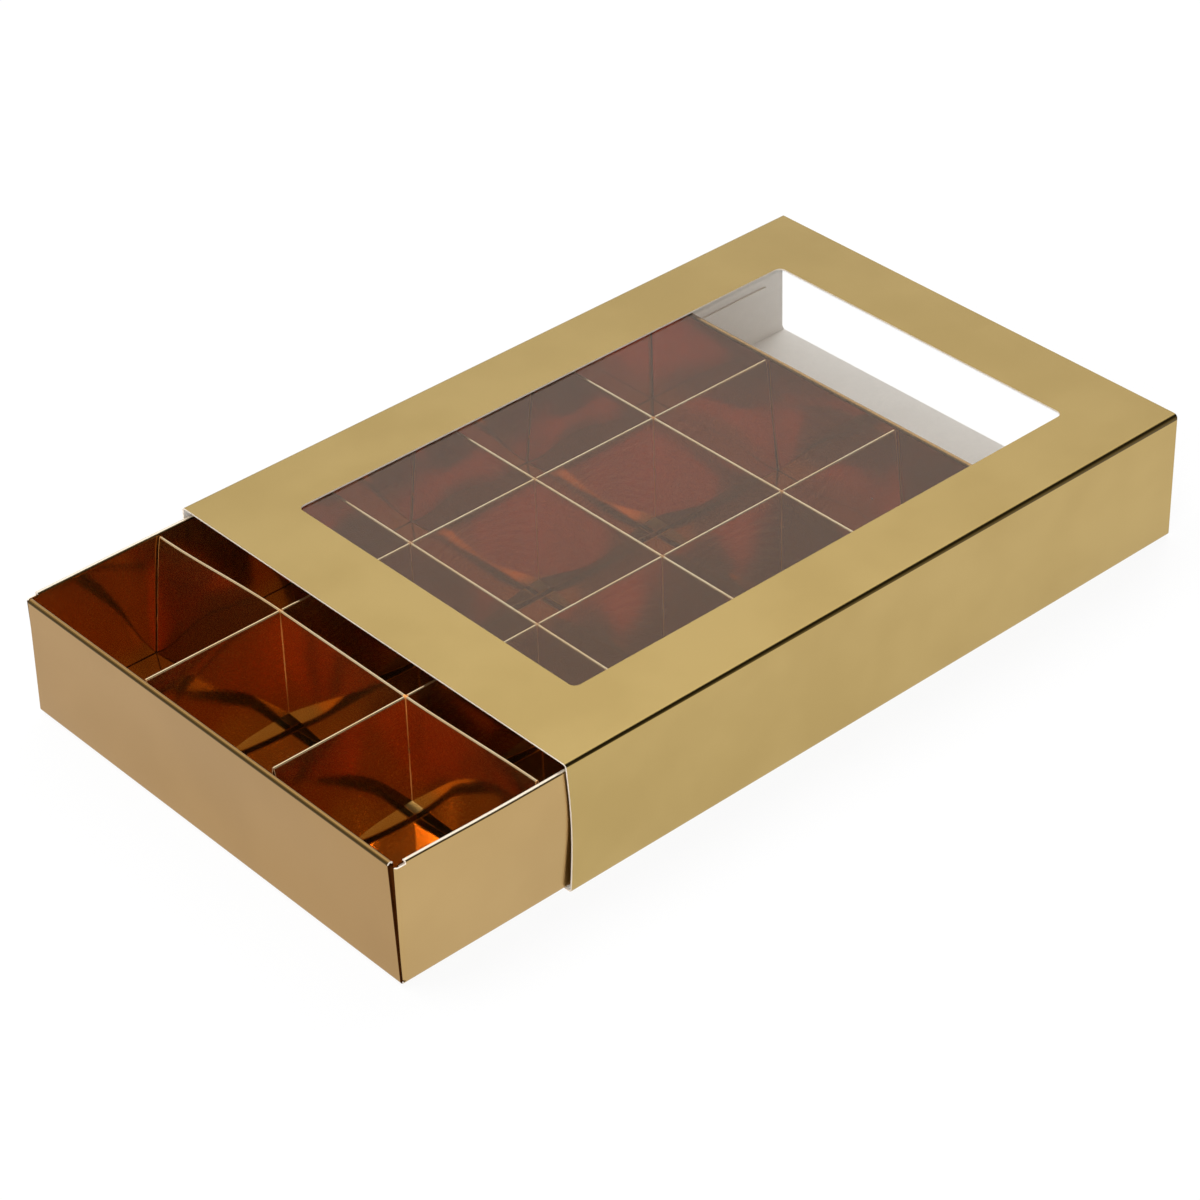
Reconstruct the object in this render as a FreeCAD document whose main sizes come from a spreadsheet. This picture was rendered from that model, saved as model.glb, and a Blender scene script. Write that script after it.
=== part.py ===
import FreeCAD, Part
import os
import re
import Sketcher

# A chocolate box: a foil board sleeve, open at both ends and with a film window in its top,
# holds a foil board tray that is parted into fifteen cells by folded, interlocking strips.
# The origin is the middle of the sleeve's underside, X runs along the slide and Z points up.
# The tray is drawn out of the sleeve towards -X. All sizes are in millimetres.

SIZES = {
    # sleeve
    "sleeve_length": 180,
    "sleeve_width": 125,
    "sleeve_height": 32.4,
    "sleeve_board": 0.4,
    "sleeve_crease": 1.2,
    "sleeve_wall_foot": 0.3,
    "seam_flap_height": 14.8,
    "seam_flap_inset": 2,
    "seam_flap_taper": 4,
    "seam_glue_depth": 0.1,
    "seam_glue_margin": 2,
    # window
    "window_end_border": 17.8,
    "window_side_border": 17.8,
    "window_corner": 1.6,
    "film_thickness": 0.15,
    "film_overlap": 8,
    "film_glue_depth": 0.1,
    "film_glue_margin": 1.5,
    # tray
    "tray_length": 178.4,
    "tray_width": 122.4,
    "tray_height": 29.8,
    "tray_board": 0.4,
    "tray_crease": 0.9,
    "tray_lift": 0.2,
    "tray_flap_gap": 0.35,
    "tray_pull": 43.4,
    "long_wall_gap": 0.35,
    "end_wall_play": 0.1,
    "corner_flap_length": 28,
    "corner_flap_taper": 4,
    "corner_notch": 2.5,
    "corner_slit": 0.8,
    "panel_foot_gap": 0.2,
    "panel_end_gap": 0.4,
    # dividers
    "divider_board": 0.35,
    "divider_ridge": 1.2,
    "divider_base": 2,
    "divider_drop": 0.6,
    "divider_float": 0.15,
    "divider_end_gap": 0.5,
    "divider_foot_length": 12,
    "divider_foot_height": 2.3,
    "divider_slot_play": 0.25,
    "long_divider_pitch": 41,
    # all cuts run past the board by this much
    "cut_overrun": 1,
}
LONG_DIVIDERS = 2
CROSS_DIVIDERS = 4
FOLD_SHARE = 0.45  # radius of a rolled fold, of the wall's whole thickness
TOUCH = 1e-4  # how near a line has to pass to count as being on a point

# Sizes worked out from the table, written as formulas.
WALL_Y = "sleeve_width / 2"
FLAP_FACE_Y = f"({WALL_Y} - sleeve_board - seam_glue_depth)"
CEILING_Z = "(sleeve_height - sleeve_board)"
WINDOW_X = "(sleeve_length / 2 - window_end_border)"
WINDOW_Y = "(sleeve_width / 2 - window_side_border)"
TRAY_X = "tray_length / 2"
TRAY_Y = "tray_width / 2"
LONG_WALL = "(2 * tray_board + long_wall_gap)"
END_WALL = "(3 * tray_board + 2 * end_wall_play)"
FLAP_X = f"({TRAY_X} - tray_board - end_wall_play)"
ROLL_X = f"({TRAY_X} - {END_WALL} - panel_end_gap)"
END_PANEL_Y = f"({TRAY_Y} - tray_crease)"
ROLL_Y = f"({END_PANEL_Y} - corner_slit)"
PANEL_FOOT = "(tray_board + panel_foot_gap)"
TRAY_BOTTOM = "(sleeve_board + tray_lift)"
TRAY_CENTRE_Y = f"({FLAP_FACE_Y} - sleeve_board - tray_flap_gap - {TRAY_Y})"
INSIDE_LENGTH = f"(tray_length - 2 * {END_WALL})"
INSIDE_WIDTH = f"(tray_width - 2 * {LONG_WALL})"
DIVIDER_HEIGHT = "(tray_height - tray_board - divider_drop - divider_float)"
DIVIDER_BOTTOM = f"({TRAY_BOTTOM} + tray_board + divider_float)"
CROSS_PITCH = f"({INSIDE_LENGTH} / {CROSS_DIVIDERS + 1})"
LONG_LENGTH = f"({INSIDE_LENGTH} - 2 * divider_end_gap)"
CROSS_LENGTH = f"({INSIDE_WIDTH} - 2 * divider_end_gap)"
SLOT_TOP_WIDTH = "((divider_ridge + divider_base) / 2 + 2 * divider_slot_play)"
SLOT_FOOT_WIDTH = "(divider_base + 2 * divider_slot_play)"

doc = FreeCAD.newDocument("ChocolateBox")
sheet = doc.addObject("Spreadsheet::Sheet", "Sizes")
for row, (alias, length) in enumerate(SIZES.items(), start=1):
    sheet.set(f"A{row}", alias)
    sheet.set(f"B{row}", str(length))
    sheet.setAlias(f"B{row}", alias)
doc.recompute()


def from_sheet(formula):
    return re.sub(r"[a-z_]{3,}", lambda word: f"Sizes.{word.group()}", formula)


def bind(item, name, formula):
    item.setExpression(name, from_sheet(formula))


def new_body(label, x="0", y="0", z="0"):
    body = doc.addObject("PartDesign::Body", label)
    body.Label = label
    bind(body, "Placement.Base.x", x)
    bind(body, "Placement.Base.y", y)
    bind(body, "Placement.Base.z", z)
    return body


def draw(body, plane, name, outlines, offset="0"):
    """A sketch of closed outlines, each a list of (across, up) formulas for its corners."""
    sketch = body.newObject("Sketcher::SketchObject", f"{body.Label}_{name}")
    support = next(item for item in body.Origin.OriginFeatures if item.Role == plane)
    sketch.AttachmentSupport = [(support, "")]
    sketch.MapMode = "FlatFace"
    bind(sketch, "AttachmentOffset.Base.z", offset)
    for corners in outlines:
        first = sketch.GeometryCount
        count = len(corners)
        for index in range(count):
            start = FreeCAD.Vector(index, index * index, 0)
            following = (index + 1) % count
            end = FreeCAD.Vector(following, following * following, 0)
            sketch.addGeometry(Part.LineSegment(start, end), False)
        for index, (across, up) in enumerate(corners):
            line = first + index
            sketch.addConstraint(Sketcher.Constraint("Coincident", line, 2, first + (index + 1) % count, 1))
            for kind, place, formula in (("DistanceX", index, across), ("DistanceY", index * index, up)):
                key = sketch.addConstraint(Sketcher.Constraint(kind, -1, 1, line, 1, float(place)))
                bind(sketch, f"Constraints[{key}]", formula)
    return sketch


def rectangle(left, right, bottom, top):
    return [(left, bottom), (right, bottom), (right, top), (left, top)]


def settle(feature):
    doc.recompute()
    if "Invalid" in feature.State or "Error" in feature.State or not feature.Shape.isValid():
        raise RuntimeError(f"{feature.Name} failed: {feature.State}")


def add(body, sketch, length):
    """Add board to both sides of the sketch, to a whole thickness of length."""
    pad = body.newObject("PartDesign::Pad", f"{sketch.Name}_pad")
    pad.Profile = sketch
    pad.SideType = "Symmetric"
    bind(pad, "Length", length)
    settle(pad)
    return pad


def cut(body, sketch, length):
    """Cut to both sides of the sketch, to a whole depth of length, and see that board was removed."""
    before = body.Shape.Volume
    pocket = body.newObject("PartDesign::Pocket", f"{sketch.Name}_cut")
    pocket.Profile = sketch
    pocket.SideType = "Symmetric"
    bind(pocket, "Length", length)
    settle(pocket)
    if not body.Shape.Volume < before:
        raise RuntimeError(f"{pocket.Name} removed nothing")
    return pocket


def edges_through(feature, sketch, corners):
    """Names of the feature's edges that run square to the sketch through the given corners."""
    turn = sketch.Placement.Rotation
    along = turn.multVec(FreeCAD.Vector(0, 0, 1))
    points = [sketch.Placement.multVec(sketch.Geometry[index].StartPoint) for index in corners]
    names = []
    for number, edge in enumerate(feature.Shape.Edges, start=1):
        if edge.Degenerated or edge.Curve.TypeId != "Part::GeomLine":
            continue
        if edge.Curve.Direction.cross(along).Length > TOUCH:
            continue
        start = edge.Vertexes[0].Point
        if any((start - point).cross(along).Length < TOUCH for point in points):
            names.append(f"Edge{number}")
    return names


def bend(body, sketch, corners, radius):
    """Round the edges that stand on the given corners of the sketch, as a crease rounds the board."""
    base = body.Tip
    names = edges_through(base, sketch, corners)
    fillet = body.newObject("PartDesign::Fillet", f"{base.Name}_bend")
    fillet.Base = (base, names)
    bind(fillet, "Radius", radius)
    settle(fillet)
    return fillet


def make_sleeve():
    """One board: side wall, top, other side wall, bottom and the glue flap inside the first wall."""
    body = new_body("sleeve")
    wall, inside, flap = WALL_Y, f"({WALL_Y} - sleeve_board)", FLAP_FACE_Y
    section = draw(body, "YZ_Plane", "section", [[
        (wall, "sleeve_wall_foot"),
        (wall, "sleeve_height"),
        (f"-{wall}", "sleeve_height"),
        (f"-{wall}", "0"),
        (flap, "0"),
        (flap, "seam_flap_height"),
        (f"{flap} - sleeve_board", "seam_flap_height"),
        (f"{flap} - sleeve_board", "sleeve_board"),
        (f"-{inside}", "sleeve_board"),
        (f"-{inside}", CEILING_Z),
        (inside, CEILING_Z),
        (inside, "sleeve_wall_foot"),
    ]])
    add(body, section, "sleeve_length")
    bend(body, section, [1, 2, 3, 4], "sleeve_crease")
    bend(body, section, [7, 8, 9, 10], "sleeve_crease - sleeve_board")
    window = draw(body, "XY_Plane", "window", [
        rectangle(f"-{WINDOW_X}", WINDOW_X, f"-{WINDOW_Y}", WINDOW_Y),
    ], "sleeve_height")
    cut(body, window, "2 * sleeve_board + cut_overrun")
    bend(body, window, [0, 1, 2, 3], "window_corner")
    end, low = "sleeve_length / 2", "sleeve_crease"
    tapers = []
    for side in ("-", ""):
        outer = f"{side}({end} + cut_overrun)"
        tapers.append([
            (outer, low),
            (f"{side}({end} - seam_flap_inset)", low),
            (f"{side}({end} - seam_flap_inset - seam_flap_taper)", "seam_flap_height"),
            (f"{side}({end} - seam_flap_inset - seam_flap_taper)", "seam_flap_height + cut_overrun"),
            (outer, "seam_flap_height + cut_overrun"),
        ])
    ends = draw(body, "XZ_Plane", "flap_ends", tapers, f"-({FLAP_FACE_Y} - sleeve_board / 2)")
    cut(body, ends, "sleeve_board + seam_glue_depth")
    return body


def make_seam_glue():
    """The adhesive between the glue flap and the side wall."""
    body = new_body("seam_glue")
    half = "(sleeve_length / 2 - seam_flap_inset - seam_flap_taper - seam_glue_margin)"
    line = draw(body, "XZ_Plane", "line", [
        rectangle(f"-{half}", half, "sleeve_crease + seam_glue_margin", "seam_flap_height - seam_glue_margin"),
    ], f"-({FLAP_FACE_Y} + seam_glue_depth / 2)")
    add(body, line, "seam_glue_depth")
    return body


def make_window_film():
    """The clear film, larger than the window all round."""
    body = new_body("window_film", z=f"{CEILING_Z} - film_glue_depth - film_thickness / 2")
    sheet_x, sheet_y = f"({WINDOW_X} + film_overlap)", f"({WINDOW_Y} + film_overlap)"
    film = draw(body, "XY_Plane", "sheet", [rectangle(f"-{sheet_x}", sheet_x, f"-{sheet_y}", sheet_y)])
    add(body, film, "film_thickness")
    return body


def make_window_glue():
    """The frame of adhesive between the film and the top panel."""
    body = new_body("window_glue", z=f"{CEILING_Z} - film_glue_depth / 2")
    inner_x, inner_y = f"({WINDOW_X} + film_glue_margin)", f"({WINDOW_Y} + film_glue_margin)"
    reach = "film_overlap - film_glue_margin"
    outer_x, outer_y = f"({WINDOW_X} + {reach})", f"({WINDOW_Y} + {reach})"
    frame = draw(body, "XY_Plane", "frame", [
        rectangle(f"-{outer_x}", outer_x, f"-{outer_y}", outer_y),
        rectangle(f"-{inner_x}", inner_x, f"-{inner_y}", inner_y),
    ])
    add(body, frame, "film_glue_depth")
    return body


def make_tray():
    """One board: floor, long walls with corner flaps, end walls, and the panels rolled over inside."""
    body = new_body("tray", x="-tray_pull", y=TRAY_CENTRE_Y, z=TRAY_BOTTOM)
    # Floor and long walls, and the ends of the long walls turned round the corners as flaps.
    section = draw(body, "YZ_Plane", "section", [rectangle(f"-{TRAY_Y}", TRAY_Y, "0", "tray_height")])
    plan = draw(body, "XY_Plane", "plan", [rectangle(f"-{FLAP_X}", FLAP_X, f"-{TRAY_Y}", TRAY_Y)])
    add(body, section, f"2 * {FLAP_X}")
    bend(body, plan, [0, 1, 2, 3], "tray_crease")
    bend(body, section, [0, 1], "tray_board")
    inside_x, inside_y = f"({FLAP_X} - tray_board)", f"({TRAY_Y} - tray_board)"
    hollow = draw(body, "YZ_Plane", "hollow", [
        rectangle(f"-{inside_y}", inside_y, "tray_board", "tray_height + cut_overrun"),
    ])
    hollow_plan = draw(body, "XY_Plane", "hollow_plan", [
        rectangle(f"-{inside_x}", inside_x, f"-{inside_y}", inside_y),
    ])
    cut(body, hollow, f"2 * {inside_x}")
    bend(body, hollow_plan, [0, 1, 2, 3], "tray_crease - tray_board")
    notches = draw(body, "XZ_Plane", "notches", [
        rectangle(f"{side}{ROLL_X}", f"{side}({TRAY_X} + cut_overrun)",
                  "tray_height - corner_notch", "tray_height + cut_overrun")
        for side in ("-", "")
    ])
    cut(body, notches, "tray_width + cut_overrun")
    tip_low = f"({TRAY_Y} - corner_flap_length)"
    tip_high = f"({TRAY_Y} - corner_flap_length + corner_flap_taper)"
    gap = draw(body, "YZ_Plane", "flap_gap", [[
        (f"-{END_PANEL_Y}", "tray_board"),
        (END_PANEL_Y, "tray_board"),
        (END_PANEL_Y, PANEL_FOOT),
        (tip_low, PANEL_FOOT),
        (tip_high, "tray_height + cut_overrun"),
        (f"-{tip_high}", "tray_height + cut_overrun"),
        (f"-{tip_low}", PANEL_FOOT),
        (f"-{END_PANEL_Y}", PANEL_FOOT),
    ]])
    cut(body, gap, "tray_length")

    # Long walls rolled over inwards.
    for side in ("-", ""):
        name = "far" if side == "" else "near"
        roll = draw(body, "YZ_Plane", f"{name}_roll", [[
            (f"{side}({TRAY_Y} - tray_board)", "tray_height"),
            (f"{side}({TRAY_Y} - {LONG_WALL})", "tray_height"),
            (f"{side}({TRAY_Y} - {LONG_WALL})", PANEL_FOOT),
            (f"{side}({TRAY_Y} - {LONG_WALL} + tray_board)", PANEL_FOOT),
            (f"{side}({TRAY_Y} - {LONG_WALL} + tray_board)", "tray_height - tray_board"),
            (f"{side}({TRAY_Y} - tray_board)", "tray_height - tray_board"),
        ]])
        add(body, roll, f"2 * {ROLL_X}")
        outline = draw(body, "YZ_Plane", f"{name}_fold", [[
            (f"{side}{TRAY_Y}", "tray_height"),
            (f"{side}({TRAY_Y} - {LONG_WALL})", "tray_height"),
            (f"{side}({TRAY_Y} - {LONG_WALL})", "0"),
        ]])
        doc.recompute()
        bend(body, outline, [0, 1], f"{FOLD_SHARE} * {LONG_WALL}")

    # End walls outside the corner flaps, rolled over inwards.
    for side in ("-", ""):
        name = "back" if side == "" else "front"
        panel = draw(body, "XZ_Plane", f"{name}_panel", [[
            (f"{side}{TRAY_X}", "0"),
            (f"{side}{TRAY_X}", "tray_height"),
            (f"{side}({TRAY_X} - tray_board)", "tray_height"),
            (f"{side}({TRAY_X} - tray_board)", "tray_board"),
            (f"{side}({FLAP_X} - tray_crease)", "tray_board"),
            (f"{side}({FLAP_X} - tray_crease)", "0"),
        ]])
        add(body, panel, f"2 * {END_PANEL_Y}")
        bend(body, panel, [0], "tray_board")
        slits = draw(body, "YZ_Plane", f"{name}_slits", [
            [
                (f"{edge}{END_PANEL_Y}", "tray_crease"),
                (f"{edge}{ROLL_Y}", "tray_height - corner_notch"),
                (f"{edge}{ROLL_Y}", "tray_height + cut_overrun"),
                (f"{edge}{TRAY_Y}", "tray_height + cut_overrun"),
                (f"{edge}{TRAY_Y}", "tray_crease"),
            ]
            for edge in ("-", "")
        ], f"{side}({TRAY_X} - tray_board / 2)")
        cut(body, slits, "tray_board + end_wall_play")
        roll = draw(body, "XZ_Plane", f"{name}_roll", [[
            (f"{side}({TRAY_X} - tray_board)", "tray_height"),
            (f"{side}({TRAY_X} - {END_WALL})", "tray_height"),
            (f"{side}({TRAY_X} - {END_WALL})", PANEL_FOOT),
            (f"{side}({TRAY_X} - {END_WALL} + tray_board)", PANEL_FOOT),
            (f"{side}({TRAY_X} - {END_WALL} + tray_board)", "tray_height - tray_board"),
            (f"{side}({TRAY_X} - tray_board)", "tray_height - tray_board"),
        ]])
        add(body, roll, f"2 * {ROLL_Y}")
        fold = draw(body, "XZ_Plane", f"{name}_fold", [[
            (f"{side}{TRAY_X}", "tray_height"),
            (f"{side}({TRAY_X} - {END_WALL})", "tray_height"),
            (f"{side}({TRAY_X} - {END_WALL})", "0"),
        ]])
        doc.recompute()
        bend(body, fold, [0, 1], f"{FOLD_SHARE} * {END_WALL}")
    return body


def fold_strip(body, plane, length):
    """A strip folded in half along its top, standing on feet at its two ends."""
    half_base, half_ridge = "divider_base / 2", "divider_ridge / 2"
    tent = draw(body, plane, "tent", [[
        (f"-{half_base}", "0"),
        (f"-{half_ridge}", DIVIDER_HEIGHT),
        (half_ridge, DIVIDER_HEIGHT),
        (half_base, "0"),
        (f"{half_base} - divider_board", "0"),
        (f"{half_ridge} - divider_board", f"{DIVIDER_HEIGHT} - divider_board"),
        (f"-({half_ridge} - divider_board)", f"{DIVIDER_HEIGHT} - divider_board"),
        (f"-({half_base} - divider_board)", "0"),
    ]])
    add(body, tent, length)
    bend(body, tent, [1, 2], f"{FOLD_SHARE} * divider_ridge")


def cut_strip(body, plane, name, outlines):
    cut(body, draw(body, plane, name, outlines), "2 * divider_base")


def foot_arch(length):
    half = f"({length} / 2 - divider_foot_length)"
    return rectangle(f"-{half}", half, "-cut_overrun", "divider_foot_height")


def make_long_divider(number):
    """A strip along the tray, slotted from above for each cross divider."""
    step = f"({number} - {(LONG_DIVIDERS - 1) / 2})"
    body = new_body(f"long_divider_{number + 1}", "-tray_pull",
                    f"{TRAY_CENTRE_Y} + {step} * long_divider_pitch", DIVIDER_BOTTOM)
    fold_strip(body, "YZ_Plane", LONG_LENGTH)
    cut_strip(body, "XZ_Plane", "arch", [foot_arch(LONG_LENGTH)])
    slots = []
    for cross in range(CROSS_DIVIDERS):
        centre = f"({cross} - {(CROSS_DIVIDERS - 1) / 2}) * {CROSS_PITCH}"
        slots.append(rectangle(f"{centre} - {SLOT_TOP_WIDTH} / 2", f"{centre} + {SLOT_TOP_WIDTH} / 2",
                               f"{DIVIDER_HEIGHT} / 2", f"{DIVIDER_HEIGHT} + cut_overrun"))
    cut_strip(body, "XZ_Plane", "slots", slots)
    return body


def make_cross_divider(number):
    """A strip across the tray, slotted from below for each long divider."""
    step = f"({number} - {(CROSS_DIVIDERS - 1) / 2})"
    body = new_body(f"cross_divider_{number + 1}", f"{step} * {CROSS_PITCH} - tray_pull",
                    TRAY_CENTRE_Y, DIVIDER_BOTTOM)
    fold_strip(body, "XZ_Plane", CROSS_LENGTH)
    cut_strip(body, "YZ_Plane", "arch", [foot_arch(CROSS_LENGTH)])
    slots = []
    for long in range(LONG_DIVIDERS):
        centre = f"({long} - {(LONG_DIVIDERS - 1) / 2}) * long_divider_pitch"
        slots.append(rectangle(f"{centre} - {SLOT_FOOT_WIDTH} / 2", f"{centre} + {SLOT_FOOT_WIDTH} / 2",
                               "-cut_overrun", f"{DIVIDER_HEIGHT} / 2 + divider_slot_play"))
    cut_strip(body, "YZ_Plane", "slots", slots)
    return body


bodies = [make_sleeve(), make_seam_glue(), make_window_film(), make_window_glue(), make_tray()]
bodies += [make_long_divider(number) for number in range(LONG_DIVIDERS)]
bodies += [make_cross_divider(number) for number in range(CROSS_DIVIDERS)]
doc.recompute()

for item in doc.Objects:
    if "Invalid" in item.State or "Error" in item.State:
        raise RuntimeError(f"{item.Name} failed: {item.State}")
for body in bodies:
    if body.Shape.isNull() or not body.Shape.isValid() or len(body.Shape.Solids) != 1:
        raise RuntimeError(f"{body.Label} is not one valid solid")

os.makedirs("parts", exist_ok=True)
for body in bodies:
    body.Shape.exportStep(f"parts/{body.Label}.step")
    print(body.Label, round(body.Shape.Volume, 2), body.Shape.BoundBox)
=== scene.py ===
import math

import bmesh
import bpy
from mathutils import Euler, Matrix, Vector


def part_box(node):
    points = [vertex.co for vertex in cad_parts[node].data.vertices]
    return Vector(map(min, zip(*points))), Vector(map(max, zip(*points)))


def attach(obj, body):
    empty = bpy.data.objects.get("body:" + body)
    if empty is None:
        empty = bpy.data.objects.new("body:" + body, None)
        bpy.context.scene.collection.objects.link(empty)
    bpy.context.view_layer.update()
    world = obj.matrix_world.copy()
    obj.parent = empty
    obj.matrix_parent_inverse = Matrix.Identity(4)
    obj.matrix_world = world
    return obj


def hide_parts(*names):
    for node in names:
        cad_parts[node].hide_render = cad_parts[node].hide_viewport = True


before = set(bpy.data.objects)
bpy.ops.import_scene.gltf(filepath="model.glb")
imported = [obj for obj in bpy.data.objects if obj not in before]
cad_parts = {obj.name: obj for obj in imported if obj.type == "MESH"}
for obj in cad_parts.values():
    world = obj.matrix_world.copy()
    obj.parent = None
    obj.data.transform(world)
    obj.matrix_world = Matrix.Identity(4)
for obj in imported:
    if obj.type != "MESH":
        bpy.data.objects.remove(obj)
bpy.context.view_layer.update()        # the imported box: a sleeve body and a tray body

mm = 0.001
hair = 0.01 * mm         # two places closer than this are the same place
smoothAngle = 32         # degrees, sharper edges stay sharp


# Selecting and shaping

def clearSelection():
    if bpy.context.mode != "OBJECT":
        bpy.ops.object.mode_set(mode="OBJECT")
    bpy.ops.object.select_all(action="DESELECT")


def activate(piece):
    clearSelection()
    piece.select_set(True)
    bpy.context.view_layer.objects.active = piece


def pick(piece, kind, test):     # edit mode, with every vertex, edge or face selected whose middle passes
    activate(piece)
    bpy.ops.object.mode_set(mode="EDIT")
    bpy.ops.mesh.select_mode(type=kind)
    bpy.ops.mesh.select_all(action="DESELECT")
    shape = bmesh.from_edit_mesh(piece.data)
    for part in {"VERT": shape.verts, "EDGE": shape.edges, "FACE": shape.faces}[kind]:
        corners = [part.co] if kind == "VERT" else [v.co for v in part.verts]
        if test(sum(corners, Vector()) / len(corners)):
            part.select_set(True)
    bmesh.update_edit_mesh(piece.data)


def near(a, b):
    return abs(a - b) < hair


def spread(start, end, count):   # evenly spaced places strictly between two ends
    return [start + (end - start) * (i + 1) / (count + 1) for i in range(count)]


def smooth(t):
    t = min(max(t, 0), 1)
    return t * t * (3 - 2 * t)


def pullStrip(name, axis, span, path):   # a strip of board along one axis, pulled on from panel to panel
    def place(along, point):
        return Vector((along, *point)) if axis == "x" else Vector((point[0], along, point[1]))

    clearSelection()
    bpy.ops.mesh.primitive_plane_add(size=2)
    piece = bpy.context.object
    piece.name = name
    piece.data.name = name
    for v in piece.data.vertices:
        v.co = place(span[0] if v.co.x < 0 else span[1], path[0] if v.co.y < 0 else path[1])
    for start, end in zip(path[1:], path[2:]):
        pick(piece, "EDGE", lambda p: onFold(p, axis, start))
        step = place(0, (end[0] - start[0], end[1] - start[1]))
        bpy.ops.mesh.extrude_region_move(TRANSFORM_OT_translate={"value": step})
    clearSelection()
    return piece


def onFold(p, axis, point):
    across = p.y if axis == "x" else p.x
    return near(across, point[0]) and near(p.z, point[1])


def roundFolds(piece, axis, folds, steps):   # folds are (corner of the path, radius)
    for point, radius in folds:
        pick(piece, "EDGE", lambda p: onFold(p, axis, point))
        bpy.ops.mesh.bevel(offset=radius, segments=steps, affect="EDGES")
    clearSelection()


def squareEnds(piece, ends, reach):      # rounded folds are drawn out to the board's open edges
    for v in piece.data.vertices:
        for end in ends:
            if abs(v.co.x - end) < reach:
                v.co.x = end
    pick(piece, "VERT", lambda p: True)
    bpy.ops.mesh.remove_doubles(threshold=hair)
    clearSelection()
    trim(piece, lambda p: near(p.x, ends[0]) or near(p.x, ends[1]))


def slicePiece(piece, normal, places, test=lambda p: True):
    normal = Vector(normal)
    for place in places:
        pick(piece, "FACE", test)
        bpy.ops.mesh.bisect(plane_co=normal * place, plane_no=normal)
    clearSelection()


def trim(piece, test):           # cuts away the faces whose middle passes
    pick(piece, "FACE", test)
    bpy.ops.mesh.delete(type="FACE")
    clearSelection()


def faceOut(piece, test, direction):   # the foil side of the board looks this way where the test passes
    pick(piece, "FACE", lambda p: True)
    bpy.ops.mesh.normals_make_consistent(inside=False)
    clearSelection()
    probe = next(face for face in piece.data.polygons if test(face.center))
    if probe.normal.dot(Vector(direction)) < 0:
        pick(piece, "FACE", lambda p: True)
        bpy.ops.mesh.flip_normals()
        clearSelection()


def thicken(piece, board, finishes):   # finishes: foil side, back and cut edge
    for finish in finishes:
        piece.data.materials.append(finish)
    activate(piece)
    sheet = piece.modifiers.new("board", "SOLIDIFY")
    sheet.thickness = board
    sheet.offset = -1
    sheet.use_even_offset = True
    sheet.use_quality_normals = True
    sheet.material_offset = 1
    sheet.material_offset_rim = 2
    bpy.ops.object.modifier_apply(modifier=sheet.name)


def finishPiece(piece, body, slot, *nodes):
    activate(piece)
    bpy.ops.object.shade_smooth_by_angle(angle=math.radians(smoothAngle))
    flat = piece.modifiers.new("flat", "WEIGHTED_NORMAL")    # wide panels stay flat beside a round fold
    flat.keep_sharp = True
    bpy.ops.object.modifier_apply(modifier=flat.name)
    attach(piece, body)
    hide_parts(*nodes)
    print("made", piece.name, len(piece.data.polygons), "faces")


# Materials

def newFinish(name):
    finish = bpy.data.materials.new(name)
    finish.use_nodes = True
    nodes, links = finish.node_tree.nodes, finish.node_tree.links
    shader = nodes["Principled BSDF"]
    return finish, nodes, links, shader


def addNode(nodes, kind, **settings):
    node = nodes.new(kind)
    for key, value in settings.items():
        setattr(node, key, value)
    return node


def noiseNode(nodes, links, vector, scale, detail=2.0, roughness=0.5):
    noise = nodes.new("ShaderNodeTexNoise")
    noise.inputs["Scale"].default_value = scale
    noise.inputs["Detail"].default_value = detail
    noise.inputs["Roughness"].default_value = roughness
    links.new(vector, noise.inputs["Vector"])
    return noise.outputs["Fac"]


def remap(nodes, links, value, fromLow, fromHigh, toLow, toHigh, kind="SMOOTHSTEP"):
    node = addNode(nodes, "ShaderNodeMapRange", interpolation_type=kind, clamp=True)
    for key, number in (("From Min", fromLow), ("From Max", fromHigh), ("To Min", toLow), ("To Max", toHigh)):
        node.inputs[key].default_value = number
    links.new(value, node.inputs["Value"])
    return node.outputs["Result"]


def mathNode(nodes, links, operation, a, b):
    node = addNode(nodes, "ShaderNodeMath", operation=operation)
    for socket, value in zip(node.inputs, (a, b)):
        if isinstance(value, (int, float)):
            socket.default_value = value
        else:
            links.new(value, socket)
    return node.outputs["Value"]


def mixColours(nodes, links, mask, first, second):
    node = addNode(nodes, "ShaderNodeMix", data_type="RGBA")
    for socket, colour in ((node.inputs[6], first), (node.inputs[7], second)):
        if isinstance(colour, tuple):
            socket.default_value = (*colour, 1)
        else:
            links.new(colour, socket)
    links.new(mask, node.inputs[0])
    return node.outputs[2]


def bumpNode(nodes, links, height, distance):
    bump = nodes.new("ShaderNodeBump")
    bump.inputs["Strength"].default_value = 1
    bump.inputs["Distance"].default_value = distance
    links.new(height, bump.inputs["Height"])
    return bump.outputs["Normal"]


cloudSpan = (0.35, 0.65)         # slow noise goes from one colour to the other between these
grainSpan = (0.3, 0.7)           # and fine noise from one roughness to the other
grainSockets = {"Cloud scale": 40.0, "Grain scale": 5000.0, "Grain share": 0.5}


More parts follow.
